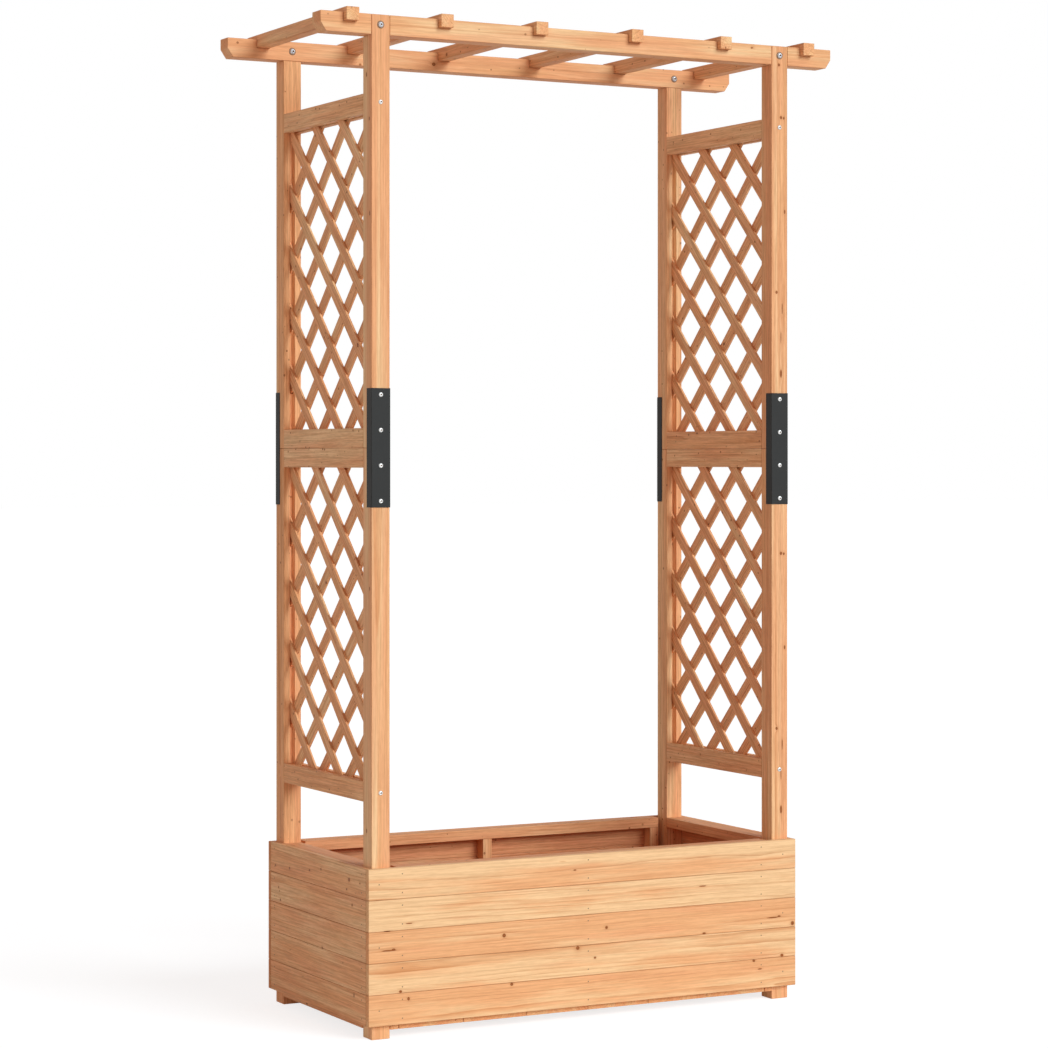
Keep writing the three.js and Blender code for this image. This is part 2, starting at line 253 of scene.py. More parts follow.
def fir(name, ring, knot_share, speck_share, redness=0.0, wander=1.0, run=1.0, contrast=1.0,
        edges=-0.08, mottle=1.0, lines=1.0, ends=(0.95, 0.87, 0.80), painted_shade=(1, 1, 1),
        chosen_knots=(), across=0):
    """Clear-finished softwood. The grain attribute runs along the trunk and across it from the
    heart, so faces show long figure and ends show rings a ring apart.
    The shares say how many of the places for knots and specks hold one. Redness and tint colour
    all of it, contrast is that of the fibres, mottle that of the soft patches and lines that of
    the dark ring lines. Wander bends the rings, and a low run draws the figure out along the
    grain. Edges shades the eased edges, and ends the end grain. Chosen knots, in place of the
    scattered ones, lie across X (0) or Y (1) and up."""
    wood = Finish(bpy.data.materials.new(name))
    grain = wood.add("Attribute", {"attribute_name": "grain"}, out="Vector")
    tone = wood.add("Attribute", {"attribute_name": "tone"}, out="Fac")
    arris = wood.add("Attribute", {"attribute_name": "arris"}, out="Fac")
    cut_end = wood.add("Attribute", {"attribute_name": "cut_end"}, out="Fac")
    trunk = wood.add("SeparateXYZ", {}, {0: grain})
    radius = wood.sum("SQRT", trunk.other(1) * trunk.other(1) + trunk.other(2) * trunk.other(2))

    out_of_knot, knot_radius, knot_drawn = knots(wood, grain, KNOT_SPACING, knot_share, *KNOT_RADII)
    for chosen in chosen_knots:
        out_of_knot = wood.sum("MINIMUM", out_of_knot, out_of_chosen_knot(wood, across, *chosen))
        knot_radius = CHOSEN_KNOT_RADIUS
    out_of_speck, _, speck_drawn = knots(wood, grain, SPECK_SPACING, speck_share, *SPECK_RADII)
    out_of_pocket = knots(wood, grain, POCKET_SPACING, POCKET_SHARE, *POCKET_RADII, POCKET_STRETCH)[0]
    knot = wood.ramp(out_of_knot, 0.8, 1.1, 1.0, 0.0)
    speck = wood.ramp(out_of_speck, 0.7, 1.2, 1.0, 0.0)
    pocket = wood.ramp(out_of_pocket, 0.4, 1.1, 1.0, 0.0)

    # The rings wander, bulge round the knots, and end each year in a thin hard dark line.
    sway = wood.noise(grain, (2.0 * run, 16, 16)) - 0.5
    ripple = wood.noise(grain, (12 * run, 75, 75)) - 0.5
    bulge = wood.sum("EXPONENT", out_of_knot * out_of_knot * -0.3) * knot_radius * 0.7
    rings = (radius + sway * (SWAY * wander) + ripple * (RIPPLE * wander) + bulge) / ring
    uneven = wood.add("TexNoise", {"noise_dimensions": "1D"}, {"W": rings, "Scale": 0.6, "Detail": 1.0})
    rings = rings + uneven * 1.8
    season = wood.sum("FRACT", rings)
    this_year = {"W": wood.sum("FLOOR", rings)}
    year = wood.add("TexWhiteNoise", {"noise_dimensions": "1D"}, this_year, out="Value")
    fade = wood.ramp(wood.noise(grain, (5.0 * run, 60, 60), 1.0), 0.38, 0.60, 0.12, 1.0)
    late = (season ** 5.0) * wood.ramp(season, 0.95, 1.0, 1.0, 0.0)
    line = late * (year * 0.8 + 0.35) * fade * lines

    fibre = wood.noise(grain, (45, 560, 560), 2.0)
    streak = wood.noise(grain, (8, 300, 300), 3.0)
    patch = (wood.noise(grain, (3.2 * run, 30, 30), 2.0) - 0.5) * mottle + 0.5
    blush = wood.noise(grain, (4.5 * run, 38, 38), 1.0).other("Color")
    blush = (wood.add("SeparateColor", {}, {0: blush}, out=1) - 0.5) * mottle + 0.5

    warmth = patch + tone * 0.12 + season * year * (0.16 * mottle) + redness
    colour = wood.mix(wood.ramp(warmth, 0.46, 0.72), CREAM, ORANGE)
    colour = wood.mix(wood.ramp(blush + redness * 1.2, 0.55, 0.78, 0.0, 0.42), colour, SALMON)
    colour = wood.mix(line * 0.72, colour, LATEWOOD)
    halo = wood.sum("EXPONENT", out_of_knot * out_of_knot * -0.45)
    halo = halo * wood.ramp(knot_radius, 0.001, 0.003)
    colour = wood.mix(halo * 0.5, colour, KNOT_HALO)
    knot_rings = wood.ramp(wood.sum("PINGPONG", out_of_knot + knot_drawn, 0.35), 0.05, 0.3)
    colour = wood.mix(knot, colour, wood.mix(knot_rings, KNOT_DARK, KNOT_LIGHT))
    flaws = wood.sum("MAXIMUM", speck * (0.5 + speck_drawn * 0.4), pocket * 0.5)
    colour = wood.mix(flaws, colour, PIN_KNOT)
    colour = wood.mix(cut_end, colour, wood.scaled(colour, ends))
    shade = wood.ramp(streak * 0.65 + fibre * 0.35, 0.32, 0.68, 1 - 0.14 * contrast, 1 + 0.09 * contrast)
    shade = shade + arris * edges
    # The tint multiplies in painted shade, for the pieces that lie in shade; elsewhere it is white.
    shades = wood.add("CombineColor", {}, {0: (shade ** 0.8) * painted_shade[0], 1: (shade ** 1.1) * painted_shade[1],
                                           2: (shade ** 1.35) * painted_shade[2]})
    colour = wood.mix(1.0, colour, shades, "MULTIPLY")

    relief = fibre * 0.4 + streak * 0.4 + line * 0.5 - knot * 0.5
    bump = wood.add("Bump", {}, {"Height": relief, "Distance": 0.0004, "Strength": 0.7})
    roughness = wood.ramp(fibre, 0.3, 0.7, 0.55, 0.70) - knot * 0.12
    shader = wood.add("BsdfPrincipled", {}, {"Base Color": colour, "Roughness": roughness,
                                             "Normal": bump, "Specular IOR Level": 0.18})
    return wood.finish(shader)


CREAM = (0.900, 0.560, 0.288, 1)
ORANGE = (0.850, 0.423, 0.192, 1)
SALMON = (0.830, 0.340, 0.160, 1)
LATEWOOD = (0.52, 0.165, 0.036, 1)
KNOT_HALO = (0.60, 0.240, 0.085, 1)
KNOT_LIGHT = (0.40, 0.135, 0.038, 1)
KNOT_DARK = (0.25, 0.064, 0.014, 1)
PIN_KNOT = (0.30, 0.085, 0.020, 1)

LEFT_POST_KNOTS = [                    # across, up, half a width, half a height, in millimetres
    (-209, 1877, 2.2, 4.5), (-222, 1790, 2.0, 4.0), (-224, 1606, 2.0, 5.0), (-224, 876, 2.0, 4.0),
    (-210, 404, 2.2, 4.5),
]
RIGHT_POST_KNOTS = [
    (460, 1953, 3.0, 3.4), (465, 1843, 3.2, 3.6), (472, 1842, 2.4, 2.8), (474, 1646, 2.0, 4.5),
    (454, 1477, 3.0, 3.4), (468, 1443, 1.2, 12), (465, 1382, 1.0, 13), (465, 1307, 2.8, 9),
]
KNOTS_BELOW = 912                      # the lower post on that side has the same knots
RIGHT_POST_KNOTS += [(x, z - KNOTS_BELOW, w, h) for x, z, w, h in RIGHT_POST_KNOTS]

left_post_fir = fir("left_post_fir", ring=0.0050, knot_share=0, speck_share=0, redness=0.13,
                    wander=0.2, run=0.3, contrast=1.2, lines=0.7, chosen_knots=LEFT_POST_KNOTS,
                    across=1)
right_post_fir = fir("right_post_fir", ring=0.0050, knot_share=0, speck_share=0, redness=0.17,
                     wander=0.25, run=0.3, contrast=1.6, chosen_knots=RIGHT_POST_KNOTS)
back_post_fir = fir("back_post_fir", ring=0.0050, knot_share=0.05, speck_share=0.5, redness=0.10,
                    wander=0.25, run=0.3, contrast=1.8)


SAME_PLACE = 1e-5
FLAT = math.radians(0.5)
SHARP = 0.6                            # radians
LEAST_LENGTH = 6                       # of an edge that is eased, in widths of the easing
SQUARE_ON = 0.9                        # cosine between a face's normal and a direction


def worked_shape(node):
    """The shape of a CAD piece, with its triangles joined into whole faces."""
    shape = bmesh.new()
    shape.from_mesh(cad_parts[node].data)
    bmesh.ops.remove_doubles(shape, verts=shape.verts, dist=SAME_PLACE)
    bmesh.ops.dissolve_limit(shape, angle_limit=FLAT, verts=shape.verts, edges=shape.edges)
    return shape


def ease_edges(shape, width):
    """Rounds the long outer edges a little, as sanding does, and marks where."""
    shape.normal_update()
    arris = shape.faces.layers.float.new("arris")
    edges = [edge for edge in shape.edges
             if edge.is_convex and edge.calc_face_angle(0) > SHARP
             and edge.calc_length() > LEAST_LENGTH * width]
    eased = bmesh.ops.bevel(shape, geom=edges, offset=width, offset_type="OFFSET", segments=2,
                            profile=0.5, affect="EDGES", clamp_overlap=True, material=-1)
    for face in eased["faces"]:
        face[arris] = 1


HEART = (0.025, 0.075)                 # nearest and farthest that the heart of the trunk lies
TRUNK = 40                             # metres of trunk, in which every piece starts somewhere
MOST_ASKEW = 0.005
TONE_RANGE = 0.6


def lay_grain(shape, along, dice, heart=HEART, tones=None, tones_over=2):
    """Gives a piece its own place in a tree: the grain runs along it, a little askew, and the
    heart of the trunk lies at some distance to one side. Tones are those of its low and high
    side over X (0), Y (1) or Z (2). A low one is creamy, and a high one orange."""
    grain = shape.verts.layers.float_vector.new("grain")
    tone = shape.verts.layers.float.new("tone")
    cut_end = shape.faces.layers.float.new("cut_end")
    shape.normal_update()
    for face in shape.faces:
        face[cut_end] = abs(face.normal.dot(along)) > SQUARE_ON
    middle = sum((corner.co for corner in shape.verts), Vector()) / len(shape.verts)
    side = along.orthogonal().normalized()
    other = along.cross(side)
    turn = dice.uniform(0, 2 * math.pi)
    outwards = side * math.cos(turn) + other * math.sin(turn)
    round_about = along.cross(outwards)
    start = dice.uniform(0, TRUNK)
    heart_distance = dice.uniform(*heart)
    askew = [dice.uniform(-MOST_ASKEW, MOST_ASKEW) for _ in range(2)]
    colouring = dice.uniform(-TONE_RANGE, TONE_RANGE)
    bottom = min(corner.co[tones_over] for corner in shape.verts)
    top = max(corner.co[tones_over] for corner in shape.verts)
    for corner in shape.verts:
        step = corner.co - middle
        length = step.dot(along)
        corner[grain] = (start + length,
                         heart_distance + step.dot(outwards) + askew[0] * length,
                         step.dot(round_about) + askew[1] * length)
        corner[tone] = colouring
        if tones:
            share = (corner.co[tones_over] - bottom) / (top - bottom)
            corner[tone] = tones[0] + (tones[1] - tones[0]) * share


def put(name, shape, material, slot, *nodes):
    """Makes a shape a piece of the planter, in place of these CAD nodes."""
    mesh = bpy.data.meshes.new(name)
    shape.to_mesh(mesh)
    shape.free()
    mesh.materials.append(material)
    mesh.polygons.foreach_set("use_smooth", [True] * len(mesh.polygons))
    piece = bpy.data.objects.new(name, mesh)
    scene.collection.objects.link(piece)
    piece.modifiers.new("even_faces", "WEIGHTED_NORMAL").weight = 80
    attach(piece, "root")
    if nodes:
        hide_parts(*nodes)
    return piece


EASE = 0.0008


def timber(node, along, material, slot, ease=EASE, heart=HEART, tones=None, tones_over=2):
    """A solid wooden piece in place of its CAD node, with eased edges and its own grain."""
    shape = worked_shape(node)
    ease_edges(shape, ease)
    lay_grain(shape, along, random.Random(node), heart, tones, tones_over)
    return put("wood_" + node, shape, material, slot, node)


X, Y, Z = Vector((1, 0, 0)), Vector((0, 1, 0)), Vector((0, 0, 1))
CORNERS = ["front_left", "front_right", "back_left", "back_right"]
POST_FIR = {"front_left": left_post_fir, "front_right": right_post_fir,
            "back_left": back_post_fir, "back_right": back_post_fir}
# Besides each post's own tone, these paint light: the backs, and with them the shaded sides, run creamier
# than the lit fronts, and the fronts of the back posts are redder as painted shade.
POST_TONES_AND_PAINTED_LIGHT = {"front_left": (0.2, -2.6), "front_right": (0.1, -0.9),      # front face, back face
              "back_left": (3.0, -0.8), "back_right": (0.6, -2.2)}
POST_EASE = 0.0012


def post(node, corner):
    timber(node, Z, POST_FIR[corner], "post_wood", POST_EASE, tones=POST_TONES_AND_PAINTED_LIGHT[corner], tones_over=1)


for corner in CORNERS:
    post("post_lower_" + corner, corner)

# ---- Battens inside the trough -----------------------------------------------------------
# Planed battens, nailed behind the wall boards: top, bottom and three studs on each long wall,
# and one along the top of each short wall, between the posts.
BATTEN = 0.0216
STUD = 0.021
STUD_GAP = 0.0002
# The battens stand in the trough's shade, so their colour is darkened: painted shade.
BATTEN_PAINTED_SHADE = (0.91, 0.87, 0.87)

batten_fir = fir("batten_fir", ring=0.0045, knot_share=0.02, speck_share=0.3, redness=0.17,
                 wander=0.5, contrast=1.5, mottle=0.7, painted_shade=BATTEN_PAINTED_SHADE)


def plank(name, low, high, along, material, slot, node):
    """A straight sawn piece between two opposite corners."""
    shape = bmesh.new()
    bmesh.ops.create_cube(shape, size=1)
    place = Matrix.Translation((low + high) / 2) @ Matrix.Diagonal((*(high - low), 1))
    bmesh.ops.transform(shape, verts=shape.verts, matrix=place)
    ease_edges(shape, EASE)
    lay_grain(shape, along, random.Random(name))
    put(name, shape, material, slot, node)


for wall in ("front", "back"):
    node = wall + "_wall_battens"
    low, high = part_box(node)
    plank(wall + "_top_batten", Vector((low.x, low.y, high.z - BATTEN)), high, X,
          batten_fir, "rail_wood", node)
    plank(wall + "_bottom_batten", low, Vector((high.x, high.y, low.z + BATTEN)), X,
          batten_fir, "rail_wood", node)
    foot = low.z + BATTEN + STUD_GAP
    head = high.z - BATTEN - STUD_GAP
    for side, middle in (("left", low.x + STUD / 2), ("middle", 0), ("right", high.x - STUD / 2)):
        plank(f"{wall}_{side}_stud", Vector((middle - STUD / 2, low.y, foot)),
              Vector((middle + STUD / 2, high.y, head)), Z, batten_fir, "rail_wood", node)
for wall in ("left", "right"):
    timber(wall + "_wall_batten", Y, batten_fir, "rail_wood")

# ---- The floor ---------------------------------------------------------------------------
# Sawn boards laid from front to back, with an open joint between them. They reach a little under
# the walls. The two end boards are notched round the posts.
FLOOR_BOARDS = 6
FLOOR_JOINT = 0.001

floor_fir = fir("floor_fir", ring=0.006, knot_share=0.15, speck_share=0.1, redness=0.1)

low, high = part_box("floor_deck")
board_width = (high.x - low.x) / FLOOR_BOARDS
for i in range(FLOOR_BOARDS):
    left = low.x + i * board_width
    plank(f"floor_board_{i + 1}", Vector((left + FLOOR_JOINT / 2, low.y, low.z)),
          Vector((left + board_width - FLOOR_JOINT / 2, high.y, high.z)),
          Y, floor_fir, "floor_wood", "floor_deck")
for end in ("left", "right"):
    timber("floor_end_" + end, Y, floor_fir, "floor_wood")

# ---- The trough's walls ------------------------------------------------------------------
# Five planed boards to a wall, nailed to the posts and studs. The long boards cover the ends
# of the short ones, so their end grain shows at the corners.
WALL_BOARDS = 5
BOARD_HEART = (0.030, 0.060)
BOARD_EASE = 0.0011
FRONT_TONES = [(0.0, 2.4), (0.3, -0.6), (1.4, 1.2), (-0.7, -0.6), (1.0, -0.9)]   # lowest board first
FRONT_KNOTS = [                        # measured as the knots of the posts are
    (-196.7, 183.7, 4.0, 4.2), (-179.6, 85.5, 3.6, 3.4), (-424.6, 92.1, 3.4, 2.8),
    (-407.3, 76.6, 2.8, 3.6), (-449.0, 173.6, 17, 1.6), (-439.5, 175.0, 4.0, 2.0),
    (37.2, 181.9, 3.4, 3.4), (-29.4, 145.8, 4.2, 4.2), (10.4, 123.1, 2.6, 2.2),
    (-35.9, 302.7, 3.6, 1.4), (264.9, 249.7, 9.0, 1.3), (268.5, 152.4, 4.5, 2.2),
    (485.6, 157.2, 4.5, 4.5), (436.4, 172.4, 15, 1.5), (452.0, 174.0, 4.0, 2.0),
    (459.2, 92.2, 4.2, 3.4), (389.7, 86.1, 3.6, 2.8), (404.7, 67.8, 5.5, 1.4),
    (-453.5, 211.4, 8.0, 1.2), (-406.0, 223.2, 7.0, 1.1),
]
LEFT_KNOTS = [
    (207, 287, 2.4, 2.4), (135, 290, 2.6, 2.8), (35, 298, 3.0, 2.0), (-21, 307, 2.6, 2.6),
    (-155, 303, 4.0, 4.0), (-205, 302, 2.4, 1.6), (-144, 283, 2.8, 2.4), (191, 244, 2.4, 2.2),
    (182, 219, 2.6, 2.6), (-169, 255, 2.6, 3.0), (-27, 151, 3.0, 2.2), (-178, 80, 2.4, 4.4),
]
DARK_ARRIS = -0.14                     # the joints between boards show as dark lines
END_GRAIN = (0.80, 0.66, 0.58)
INNER_PAINTED_SHADE = (0.82, 0.72, 0.70)        # painted shade: darkens the inner faces, which lie in the trough's shade

front_board_fir = fir("front_board_fir", ring=0.0070, knot_share=0, speck_share=0,
                      edges=DARK_ARRIS, mottle=0.85, chosen_knots=FRONT_KNOTS)
# The side and back boards are redder than the front ones: painted warm shade, as on the shaded left wall.
left_board_fir = fir("left_board_fir", ring=0.0060, knot_share=0, speck_share=0.04, redness=0.10,
                     contrast=1.9, edges=DARK_ARRIS, mottle=0.6, ends=END_GRAIN,
                     chosen_knots=LEFT_KNOTS, across=1)
board_fir = fir("board_fir", ring=0.0060, knot_share=0.10, speck_share=0.10, redness=0.10,
                contrast=1.3, edges=DARK_ARRIS, ends=END_GRAIN)
inner_painted_shade_fir = fir("inner_board_fir", ring=0.0060, knot_share=0.10, speck_share=0.30, redness=0.16,
                contrast=1.8, painted_shade=INNER_PAINTED_SHADE)
WALLS = (("front", X, Y, front_board_fir), ("back", X, -Y, board_fir),
         ("left", Y, X, left_board_fir), ("right", Y, -X, board_fir))

for wall, along, inwards, outer_fir in WALLS:
    for i in range(1, WALL_BOARDS + 1):
        tones = FRONT_TONES[i - 1] if wall == "front" else None
        board = timber(f"{wall}_board_{i}", along, outer_fir, "board_wood", BOARD_EASE, BOARD_HEART, tones)
        # The faces towards the inside of the trough take the darker inner material, which is painted
        # shade.
        board.data.materials.append(inner_painted_shade_fir)
        for face in board.data.polygons:
            if face.normal.dot(inwards) > SQUARE_ON:
                face.material_index = 1

# ---- Nails in the walls ------------------------------------------------------------------
# Thin steel nails, driven flush. Each long board has two at every stud, and every other one a
# nail at each post. The short boards have two at each post.
NAIL_RADIUS = 0.0015
NAIL_TAPER = 0.8
NAIL_SIDES = 10
NAIL_PROUD = 0.00015
NAIL_SPREAD = 0.0183                   # above and below the middle of a board
STUD_NAILS = (-0.4205, -0.005, 0.408)  # along the long walls
POST_NAILS = (-0.4705, 0.4614)

# The nails' own stained dull steel. The same material also paints the shade in the sockets of screws and
# bolts and the rings round the bolt heads.
STAIN_AND_SHADE_DARK = (0.20, 0.10, 0.045, 1)
STAIN_AND_SHADE_PALE = (0.36, 0.20, 0.10, 1)

dull_steel_and_painted_shade = Finish(bpy.data.materials.new("dull_steel_and_painted_shade"))
stain_and_shade = dull_steel_and_painted_shade.noise(dull_steel_and_painted_shade.add("TexCoord", out="Object"), (900, 900, 900))
dull_steel_and_painted_shade.finish(dull_steel_and_painted_shade.add("BsdfPrincipled", {}, {
    "Base Color": dull_steel_and_painted_shade.mix(stain_and_shade, STAIN_AND_SHADE_DARK, STAIN_AND_SHADE_PALE),
    "Roughness": dull_steel_and_painted_shade.ramp(stain_and_shade, 0.3, 0.7, 0.45, 0.7),
    "Metallic": 0.15,
}))


def facing(place, outwards):
    """The matrix that stands a part on a surface at a place, with its top outwards."""
    return Matrix.Translation(place) @ outwards.to_track_quat("Z", "Y").to_matrix().to_4x4()


def drive_nail(shape, place, outwards):
    """The head of a nail, sunk to half its thickness."""
    head = bmesh.ops.create_cone(shape, cap_ends=True, segments=NAIL_SIDES, radius1=NAIL_RADIUS,
                                 radius2=NAIL_RADIUS * NAIL_TAPER, depth=2 * NAIL_PROUD)
    bmesh.ops.transform(shape, verts=head["verts"], matrix=facing(place, outwards))


nails = bmesh.new()
post_y = sum(corner.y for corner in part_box("post_lower_back_right")) / 2
for wall, outwards in (("front", -Y), ("back", Y)):
    for i in range(1, WALL_BOARDS + 1):
        low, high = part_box(f"{wall}_board_{i}")
        face = low.y if wall == "front" else high.y
        middle = (low.z + high.z) / 2
        for x in STUD_NAILS:
            for z in (middle - NAIL_SPREAD, middle + NAIL_SPREAD):
                drive_nail(nails, Vector((x, face, z)), outwards)
        if i % 2:
            for x in POST_NAILS:
                drive_nail(nails, Vector((x, face, middle)), outwards)
for wall, outwards in (("left", -X), ("right", X)):
    for i in range(1, WALL_BOARDS + 1):
        low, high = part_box(f"{wall}_board_{i}")
        face = low.x if wall == "left" else high.x
        middle = (low.z + high.z) / 2
        for y in (-post_y, post_y):
            for z in (middle - NAIL_SPREAD, middle + NAIL_SPREAD):
                drive_nail(nails, Vector((face, y, z)), outwards)
put("wall_nails", nails, dull_steel_and_painted_shade.owner, "black_steel")

# ---- The trellis rails -------------------------------------------------------------------
# Planed rails between the posts, two of them meeting where the posts are joined. A groove
# along the inner edge holds the lattice.
rail_fir = fir("rail_fir", ring=0.0045, knot_share=0.04, speck_share=0.8, redness=0.10, wander=0.5,
               contrast=2.0, mottle=0.5)

for side in ("left", "right"):
    for level in ("bottom", "middle_lower", "middle_upper", "top"):
        timber(f"rail_{level}_{side}", Y, rail_fir, "rail_wood")

# ---- The lattice -------------------------------------------------------------------------
# Thin slats at 45 degrees in two layers, stapled face to face where they cross and trimmed to
# fit the grooves of the posts and rails. The layer named outer is the one towards -X.
SLAT_WIDTH = 0.024
SLAT_THICKNESS = 0.005
LATTICE_PITCH = 0.125
FIRST_CROSSING = 0.0693                # below the underside of the rail above
GROOVE_DEPTH = 0.0105
SEAM = 0.0003                          # left between the lattice and the bottom of a groove
GROOVE_HOLD = GROOVE_DEPTH - SEAM
SLAT_EASE = 0.0005
SLAT_HEART = (0.02, 0.06)

slat_fir = fir("slat_fir", ring=0.0036, knot_share=0.03, speck_share=0.6, redness=0.14, wander=0.5,
               contrast=2.2, mottle=0.7)


def slat_middles(low, high, slope):
    """The heights where the slats of one layer pass the middle of the panel. Only slats that
    cross one of the other layer clear of the rails are used."""
    clear = GROOVE_DEPTH + SLAT_WIDTH / 2
    step = LATTICE_PITCH / 2
    crossings = int(high.y / step)
    extra = math.ceil(high.y / LATTICE_PITCH) + 1
    first = high.z - GROOVE_HOLD - FIRST_CROSSING
    count = math.ceil((first - low.z) / LATTICE_PITCH) + 2 * extra
    heights = [first + (extra - i) * LATTICE_PITCH for i in range(count + 1)]
    places = range(-crossings, crossings + 1)
    return [z for z in heights
            if any(low.z + clear < z + slope * k * step < high.z - clear for k in places)]


def trimmed_slat(low, high, slope, x, height, dice):
    """One slat, eased along its edges and cut off at the sides of the panel."""
    slat = bmesh.new()
    bmesh.ops.create_cube(slat, size=1)
    length = 3 * (high.y + LATTICE_PITCH)
    turn = Matrix.Rotation(slope * math.pi / 4, 4, "X")
    size = Matrix.Diagonal((SLAT_THICKNESS, length, SLAT_WIDTH, 1))
    bmesh.ops.transform(slat, verts=slat.verts, matrix=Matrix.Translation((x, 0, height)) @ turn @ size)
    ease_edges(slat, SLAT_EASE)
    for place, outwards in ((low, -Y), (low, -Z), (high, Y), (high, Z)):
        everything = slat.verts[:] + slat.edges[:] + slat.faces[:]
        cut = bmesh.ops.bisect_plane(slat, geom=everything, plane_co=place, plane_no=outwards,
                                     clear_outer=True)
        rim = [edge for edge in cut["geom_cut"] if isinstance(edge, bmesh.types.BMEdge)]
        bmesh.ops.edgenet_fill(slat, edges=rim)
    lay_grain(slat, turn @ Y, dice, SLAT_HEART)
    return slat


def add_copy(group, shape):
    """Puts a finished shape in with others of a group, and frees it."""
    one = bpy.data.meshes.new("one")
    shape.to_mesh(one)
    group.from_mesh(one)
    shape.free()
    bpy.data.meshes.remove(one)


for side in ("left", "right"):
    for level in ("lower", "upper"):
        node = f"lattice_{level}_{side}"
        low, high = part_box(node)
        for layer, slope in (("outer", 1), ("inner", -1)):
            x = (low.x + high.x) / 2 - slope * SLAT_THICKNESS / 2
            slats = bmesh.new()
            dice = random.Random(node + layer)
            for height in slat_middles(low, high, slope):
                add_copy(slats, trimmed_slat(low, high, slope, x, height, dice))
            put(f"slats_{level}_{side}_{layer}", slats, slat_fir, "slat_wood", node)

# ---- The four upper posts ----------------------------------------------------------------
# The same posts again, standing end to end on the lower ones. The inner half of each top is
# cut away for the roof beam, which leaves a tongue in front of it.
for corner in CORNERS:
    post("post_upper_" + corner, corner)

# ---- The post brackets -------------------------------------------------------------------
# Sheet steel folded to a channel, with a fine matt black powder coat. One is screwed over each
# post joint and holds the upper post in line with the lower one.
COAT_BLACK = (0.030, 0.0295, 0.0280, 1)
COAT_DUSTY = (0.041, 0.0400, 0.0380, 1)
BRACKET_EASE = 0.00025

powder_coat = Finish(bpy.data.materials.new("black_powder_coat"))
bracket_place = powder_coat.add("TexCoord", out="Object")
orange_peel = powder_coat.noise(bracket_place, (1500, 1500, 1500), 3.0)
dust = powder_coat.noise(bracket_place, (14, 14, 9), 3.0)
powder_coat.finish(powder_coat.add("BsdfPrincipled", {}, {
    "Base Color": powder_coat.mix(dust, COAT_BLACK, COAT_DUSTY),
    "Roughness": powder_coat.ramp(orange_peel + dust * 0.3, 0.35, 0.9, 0.5, 0.66),
    "Normal": powder_coat.add("Bump", {}, {"Height": orange_peel, "Distance": 0.00008, "Strength": 0.5}),
    "Specular IOR Level": 0.13,
}))

for corner in CORNERS:
    node = "bracket_" + corner
    shape = worked_shape(node)
    ease_edges(shape, BRACKET_EASE)
    put("steel_" + node, shape, powder_coat.owner, "black_steel", node)

# ---- Screws ------------------------------------------------------------------------------
# Zinc-plated screws with low domed heads and a six-sided socket: four through each bracket,
# and one through each post into the ends of the top and bottom rails.
SCREW_RADIUS = 0.0048
SCREW_HEIGHT = 0.0023
BRACKET_SCREWS = 4
BRACKET_SCREW_SPACING = 0.069
HEAD_SIDES = 24
DOME_ANGLES = (0.12, 0.4, 0.75, 1.05)  # radians up from the rim of the head
SOCKET_SIDES = 6
SOCKET_MOUTH = (0.36, 0.99)            # shares of the head's radius and height
SOCKET_FLOOR = (0.34, 0.35)
ZINC_DULL = (0.62, 0.62, 0.61, 1)
ZINC_BRIGHT = (0.82, 0.82, 0.80, 1)

zinc = Finish(bpy.data.materials.new("bright_zinc"))
zinc_place = zinc.add("TexCoord", out="Object")
spangle = zinc.noise(zinc_place, (700, 700, 700), 3.0)
zinc.finish(zinc.add("BsdfPrincipled", {}, {
    "Base Color": zinc.mix(spangle, ZINC_DULL, ZINC_BRIGHT),
    "Roughness": zinc.ramp(spangle, 0.3, 0.7, 0.24, 0.4),
    "Metallic": 1.0,
}))


def ring_of(shape, sides, radius, height):
    """The edges of a level ring."""
    ring = bmesh.ops.create_circle(shape, cap_ends=False, segments=sides, radius=radius)["verts"]
    bmesh.ops.translate(shape, verts=ring, vec=(0, 0, height))
    return list({edge for corner in ring for edge in corner.link_edges})


def domed_head(shape, place, outwards, radius, height):
    """A low dome with a six-sided socket, painted dark as shade in the hollow, standing on a surface."""
    head = bmesh.new()
    loops = [ring_of(head, HEAD_SIDES, radius, 0)]
    for angle in DOME_ANGLES:
        rise = height * math.sin(angle) / math.sin(DOME_ANGLES[-1])
        loops.append(ring_of(head, HEAD_SIDES, radius * math.cos(angle), rise))
    for across, up in (SOCKET_MOUTH, SOCKET_FLOOR):
        loops.append(ring_of(head, SOCKET_SIDES, radius * across, height * up))
    for lower, upper in zip(loops, loops[1:]):
        wall = bmesh.ops.bridge_loops(head, edges=lower + upper)["faces"]
    floor = bmesh.ops.contextual_create(head, geom=loops[-1])["faces"]
    # The socket's walls and floor take the second, dark material: painted shade in the hollow.
    for face in wall + floor:
        face.material_index = 1
    bmesh.ops.contextual_create(head, geom=loops[0])
    bmesh.ops.recalc_face_normals(head, faces=head.faces)
    bmesh.ops.transform(head, verts=head.verts, matrix=facing(place, outwards))
    add_copy(shape, head)


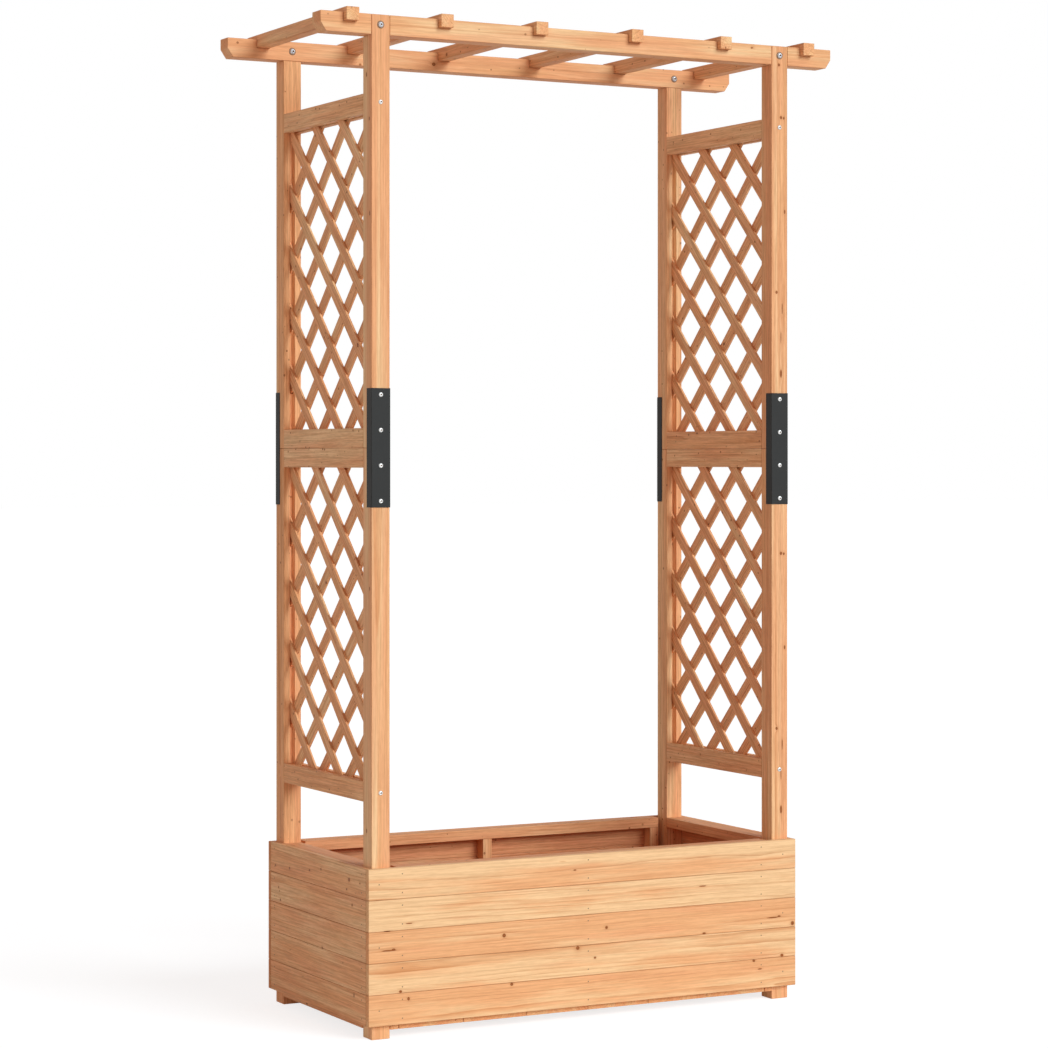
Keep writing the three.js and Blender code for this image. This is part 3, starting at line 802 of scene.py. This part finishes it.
screws = bmesh.new()
for corner in CORNERS:
    outwards = -Y if corner.startswith("front") else Y
    low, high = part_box("bracket_" + corner)
    x = (low.x + high.x) / 2
    face = low.y if corner.startswith("front") else high.y
    for i in range(BRACKET_SCREWS):
        z = (low.z + high.z) / 2 + (i - (BRACKET_SCREWS - 1) / 2) * BRACKET_SCREW_SPACING
        domed_head(screws, Vector((x, face, z)), outwards, SCREW_RADIUS, SCREW_HEIGHT)
    side = corner.split("_")[1]
    post_low, post_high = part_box("post_lower_" + corner)
    post_face = post_low.y if corner.startswith("front") else post_high.y
    for rail in ("rail_bottom_" + side, "rail_top_" + side):
        rail_low, rail_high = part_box(rail)
        z = (rail_low.z + rail_high.z) / 2
        domed_head(screws, Vector((x, post_face, z)), outwards, SCREW_RADIUS, SCREW_HEIGHT)
put("screws", screws, zinc.owner, "black_steel").data.materials.append(dull_steel_and_painted_shade.owner)

# ---- The roof beams ----------------------------------------------------------------------
# Two planed beams across the post tops, half-lapped over the posts' tongues, notched on top
# for the rafters, with their lower end corners cut off.
BEAM_EASE = 0.0012

roof_fir = fir("roof_fir", ring=0.006, knot_share=0.10, speck_share=0.1, redness=0.10, wander=0.7,
               lines=0.6)
# The back beam's redder copy of the roof wood is painted shade, as the back of the roof lies partly in
# shade.
roof_painted_shade_fir = fir("roof_painted_shade_fir", ring=0.006, knot_share=0.08, speck_share=0.15, redness=0.22,
                   wander=0.7, lines=0.6)

timber("beam_front", X, roof_fir, "roof_wood", BEAM_EASE)
timber("beam_back", X, roof_painted_shade_fir, "roof_wood", BEAM_EASE)

# ---- The rafters -------------------------------------------------------------------------
# Six square softwood rafters, each dropped into a notch of either beam. Their tops stand proud
# of the beams, and so do their ends, which are cut square.
RAFTERS = 6
RAFTER_EASE = 0.001
PALE_ENDS = (1.03, 1.05, 1.02)

rafter_fir = fir("rafter_fir", ring=0.006, knot_share=0.06, speck_share=0.5, redness=0.15,
                 wander=0.6, contrast=1.5, mottle=0.7, ends=PALE_ENDS)

for i in range(1, RAFTERS + 1):
    timber(f"rafter_{i}", Y, rafter_fir, "roof_wood", RAFTER_EASE)

# ---- Roof bolts --------------------------------------------------------------------------
# A zinc-plated bolt through each half lap of post and beam: a domed head on a collar in front,
# and a washer and a nut behind. The collar is of the dark steel: a painted shade ring round each head.
BOLT_RADIUS = 0.0060
BOLT_HEIGHT = 0.0034
COLLAR_RADIUS = 0.0078
COLLAR_HEIGHT = 0.0009
COLLAR_TAPER = 0.96
WASHER_RADIUS = 0.0085
WASHER_HEIGHT = 0.0014
NUT_SIDES = 6
NUT_RADIUS = 0.0068
NUT_HEIGHT = 0.005
GREY_DARK = (0.36, 0.36, 0.38, 1)
GREY_PALE = (0.62, 0.62, 0.64, 1)

bolt_zinc = Finish(bpy.data.materials.new("grey_zinc"))
bolt_place = bolt_zinc.add("TexCoord", out="Object")
bolt_spangle = bolt_zinc.noise(bolt_place, (600, 600, 600), 3.0)
bolt_zinc.finish(bolt_zinc.add("BsdfPrincipled", {}, {
    "Base Color": bolt_zinc.mix(bolt_spangle, GREY_DARK, GREY_PALE),
    "Roughness": bolt_zinc.ramp(bolt_spangle, 0.3, 0.7, 0.2, 0.36),
    "Metallic": 1.0,
}))


def disc(shape, place, outwards, sides, radius, height, taper=1.0):
    """A flat disc or nut that stands on a surface. Gives its faces."""
    made = bmesh.ops.create_cone(shape, cap_ends=True, segments=sides, radius1=radius,
                                 radius2=radius * taper, depth=height)["verts"]
    middle = place + outwards * (height / 2)
    bmesh.ops.transform(shape, verts=made, matrix=facing(middle, outwards))
    return {face for corner in made for face in corner.link_faces}


bolts = bmesh.new()
post_x = sum(corner.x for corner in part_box("post_upper_front_right")) / 2
for beam in ("beam_front", "beam_back"):
    low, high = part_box(beam)
    for x in (-post_x, post_x):
        front = Vector((x, low.y, (low.z + high.z) / 2))
        back = Vector((x, high.y, (low.z + high.z) / 2))
        # The collar takes the dark second material: a painted shade ring round the head.
        for face in disc(bolts, front, -Y, HEAD_SIDES, COLLAR_RADIUS, COLLAR_HEIGHT, COLLAR_TAPER):
            face.material_index = 1
        domed_head(bolts, front - Y * COLLAR_HEIGHT, -Y, BOLT_RADIUS, BOLT_HEIGHT)
        disc(bolts, back, Y, HEAD_SIDES, WASHER_RADIUS, WASHER_HEIGHT)
        disc(bolts, back + Y * WASHER_HEIGHT, Y, NUT_SIDES, NUT_RADIUS, NUT_HEIGHT)
put("roof_bolts", bolts, bolt_zinc.owner, "black_steel").data.materials.append(dull_steel_and_painted_shade.owner)
